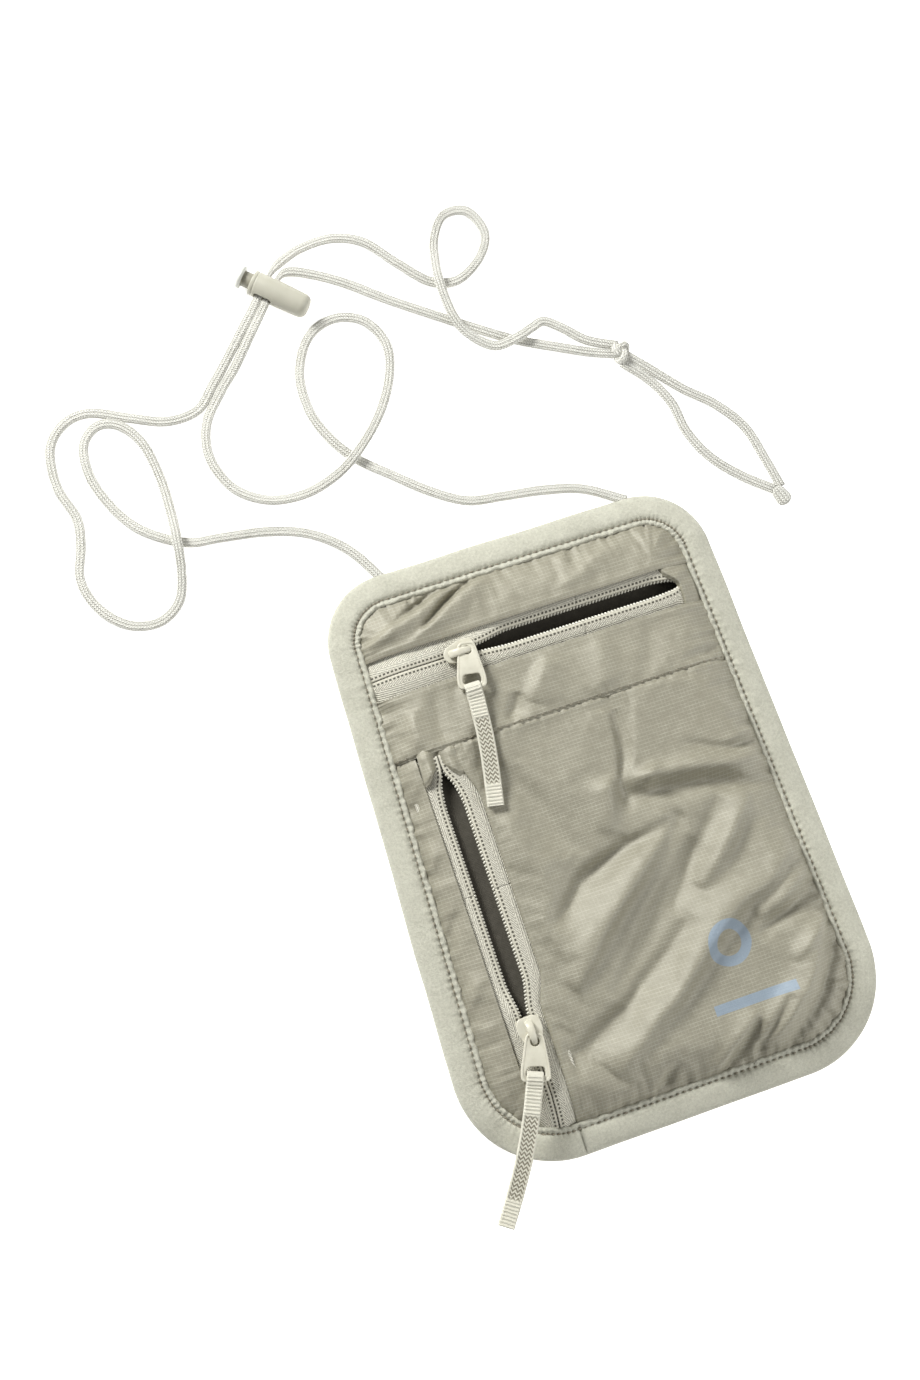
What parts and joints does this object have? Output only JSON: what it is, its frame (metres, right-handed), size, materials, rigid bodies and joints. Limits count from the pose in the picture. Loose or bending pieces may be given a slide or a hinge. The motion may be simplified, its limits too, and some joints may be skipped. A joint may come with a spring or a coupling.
{
  "type": "neck pouch wallet",
  "caption": "Flat neck pouch wallet: top zip compartment, front pocket with a side zip, soft edge binding, ribbon zip pulls, and a neck cord with a sliding cord lock and a knot.",
  "frame": {"origin": "middle of the back face, on the surface that the pouch lies on", "axes": "+X to the right of the front, +Y to the top edge where the neck cord leaves, +Z out of the front"},
  "size_m": [0.2194, 0.3068, 0.0153],
  "materials": {
    "ripstop_cloth": "matte ripstop weave",
    "binding_cloth": "soft brushed",
    "lining_cloth": "matte",
    "zip_tape": "matte woven",
    "zip_coil": "satin",
    "lacquered_metal": "satin lacquer",
    "ribbon_weave": "matte woven",
    "braided_cord": "soft braid",
    "barrel_plastic": "satin",
    "button_plastic": "semi-gloss",
    "spring_steel": "drawn wire"
  },
  "bodies": {
    "pouch": {"back_panel": "ripstop_cloth", "edge_binding": "binding_cloth", "divider_lining": "lining_cloth", "front_panel": "ripstop_cloth", "side_panel": "ripstop_cloth", "header_strip": "ripstop_cloth", "top_panel": "ripstop_cloth", "side_zip_garage": "ripstop_cloth", "top_zip_end_flap": "ripstop_cloth", "cord_left": "braided_cord", "cord_right": "braided_cord", "cord_tail_upper": "braided_cord", "cord_tail_lower": "braided_cord", "cord_knot": "braided_cord", "cord_tip": "braided_cord"},
    "top_upper_lip": {"top_zip_upper_tape": "zip_tape", "top_zip_upper_coil": "zip_coil"},
    "top_lower_lip": {"top_zip_lower_tape": "zip_tape", "top_zip_lower_coil": "zip_coil"},
    "side_right_lip": {"side_zip_right_tape": "zip_tape", "side_zip_right_coil": "zip_coil"},
    "side_left_lip": {"side_zip_left_tape": "zip_tape", "side_zip_left_coil": "zip_coil"},
    "top_slider": {"top_slider": "lacquered_metal"},
    "top_tab": {"top_pull_tab": "lacquered_metal"},
    "top_ribbon": {"top_pull_ribbon": "ribbon_weave"},
    "side_slider": {"side_slider": "lacquered_metal"},
    "side_tab": {"side_pull_tab": "lacquered_metal"},
    "side_ribbon": {"side_pull_ribbon": "ribbon_weave"},
    "toggle": {"toggle_barrel": "barrel_plastic", "toggle_spring": "spring_steel"},
    "plunger": {"toggle_plunger": "button_plastic"}
  },
  "joints": [
    {"name": "top_slider_slide", "type": "slide", "parent": "pouch", "child": "top_slider", "axis": [1, 0, 0], "range_m": [-0.022, 0.06]},
    {"name": "top_tab_hinge", "type": "hinge", "parent": "top_slider", "child": "top_tab", "pos_m": [-0.025, 0.0615, 0.0132], "axis": [-1, 0, 0], "range_deg": [0, 120]},
    {"name": "top_ribbon_hinge", "type": "hinge", "parent": "top_tab", "child": "top_ribbon", "pos_m": [-0.025, 0.04985, 0.0132], "axis": [-1, 0, 0], "range_deg": [0, 60]},
    {"name": "side_slider_slide", "type": "slide", "parent": "pouch", "child": "side_slider", "axis": [0, 1, 0], "range_m": [-0.02, 0.072]},
    {"name": "side_tab_hinge", "type": "hinge", "parent": "side_slider", "child": "side_tab", "pos_m": [-0.0415, -0.053, 0.0125], "axis": [-1, 0, 0], "range_deg": [0, 64]},
    {"name": "side_ribbon_hinge", "type": "hinge", "parent": "side_tab", "child": "side_ribbon", "pos_m": [-0.0415, -0.06512, 0.0135], "axis": [-1, 0, 0], "range_deg": [0, 100]},
    {"name": "toggle_slide", "type": "slide", "parent": "pouch", "child": "toggle", "axis": [-0.6832, -0.7302, 0], "range_m": [0, 0.01], "deforming": ["cord_left", "cord_right"]},
    {"name": "plunger_press", "type": "slide", "parent": "toggle", "child": "plunger", "axis": [0.7302, -0.6832, 0], "range_m": [0, 0.002], "stiffness_N_per_m": 800, "springref_m": -0.003, "deforming": ["toggle_spring"]},
    {"name": "top_upper_lip", "type": "slide", "parent": "pouch", "child": "top_upper_lip", "axis": [0, -0.8471, 0.5315], "range_m": [-0.0012, 0.0031], "deforming": ["top_zip_upper_tape", "top_zip_upper_coil"]},
    {"name": "top_lower_lip", "type": "slide", "parent": "pouch", "child": "top_lower_lip", "axis": [0, 0.9459, -0.3243], "range_m": [-0.0008, 0.0019], "deforming": ["top_zip_lower_tape", "top_zip_lower_coil"]},
    {"name": "side_right_lip", "type": "slide", "parent": "pouch", "child": "side_right_lip", "axis": [-0.9909, 0, -0.1344], "range_m": [-0.0009, 0.0031], "deforming": ["side_zip_right_tape", "side_zip_right_coil"]},
    {"name": "side_left_lip", "type": "slide", "parent": "pouch", "child": "side_left_lip", "axis": [0.8022, 0, 0.597], "range_m": [-0.0008, 0.0028], "deforming": ["side_zip_left_tape", "side_zip_left_coil"]}
  ],
  "couplings": [
    {"joint": "top_upper_lip", "follows": "top_slider_slide", "ratio": 0.05017},
    {"joint": "top_lower_lip", "follows": "top_slider_slide", "ratio": 0.03083},
    {"joint": "side_right_lip", "follows": "side_slider_slide", "ratio": 0.04135},
    {"joint": "side_left_lip", "follows": "side_slider_slide", "ratio": 0.03722}
  ]
}
